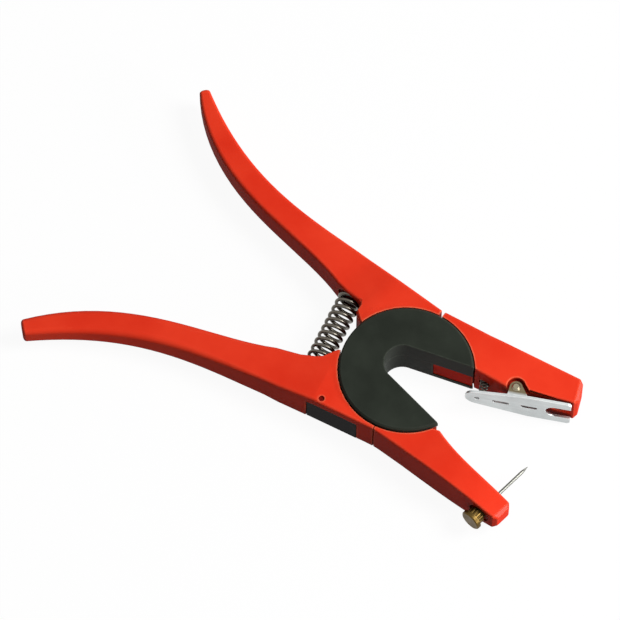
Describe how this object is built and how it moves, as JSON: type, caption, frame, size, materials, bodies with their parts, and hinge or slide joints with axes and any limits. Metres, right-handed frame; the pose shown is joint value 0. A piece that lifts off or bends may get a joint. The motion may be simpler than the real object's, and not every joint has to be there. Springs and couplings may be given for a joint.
{
  "type": "ear tag applicator",
  "caption": "Hand applicator for livestock ear tags: two sprung cast arms on a C-shaped hub, a pivoting tag clip on one jaw and a tag needle on the other.",
  "frame": {"origin": "on the hub's axis, at the outer face of the back cover that the tool lies on", "axes": "+Z along the hub's axis, up out of the front cover; +X towards the open end of the jaws, with the handles towards -X; +Y towards the clip jaw"},
  "size_m": [0.2302, 0.1476, 0.0224],
  "materials": {
    "red_paint": "gloss red enamel over cast aluminium",
    "black_cover": "semi-matte moulded black",
    "black_plug": "matte moulded black",
    "clip_steel": "satin zinc-plated pressed steel",
    "screw_steel": "dark oiled steel",
    "rivet_steel": "bright peened steel",
    "needle_steel": "ground stainless steel",
    "spring_steel": "dull spring wire",
    "brass": "turned brass"
  },
  "bodies": {
    "clip_arm": {"clip_jaw_arm": "red_paint", "hub_front_cover": "black_cover", "hub_back_cover": "black_cover", "hub_screw_1": "screw_steel", "hub_screw_2": "screw_steel", "hub_screw_3": "screw_steel", "hub_screw_4": "screw_steel", "return_spring": "spring_steel", "clip_pin": "rivet_steel", "clip_spring": "spring_steel", "storage_plug": "black_plug", "plug_pin": "rivet_steel"},
    "pin_arm": {"pin_jaw_arm": "red_paint", "tag_needle": "needle_steel", "needle_nut": "brass"},
    "clip": {"tag_clip": "clip_steel"}
  },
  "joints": [
    {"name": "handle", "type": "hinge", "parent": "clip_arm", "child": "pin_arm", "pos_m": [0, 0, 0.0112], "axis": [0, 0, 1], "range_deg": [0, 30], "stiffness_Nm_per_rad": 1.5, "springref_deg": -20.05, "deforming": ["return_spring"]},
    {"name": "clip_hinge", "type": "hinge", "parent": "clip_arm", "child": "clip", "pos_m": [0.0445, 0.0208, 0.0112], "axis": [0, 0, -1], "range_deg": [0, 12], "stiffness_Nm_per_rad": 0.05, "springref_deg": -17.19, "deforming": ["clip_spring"]}
  ]
}
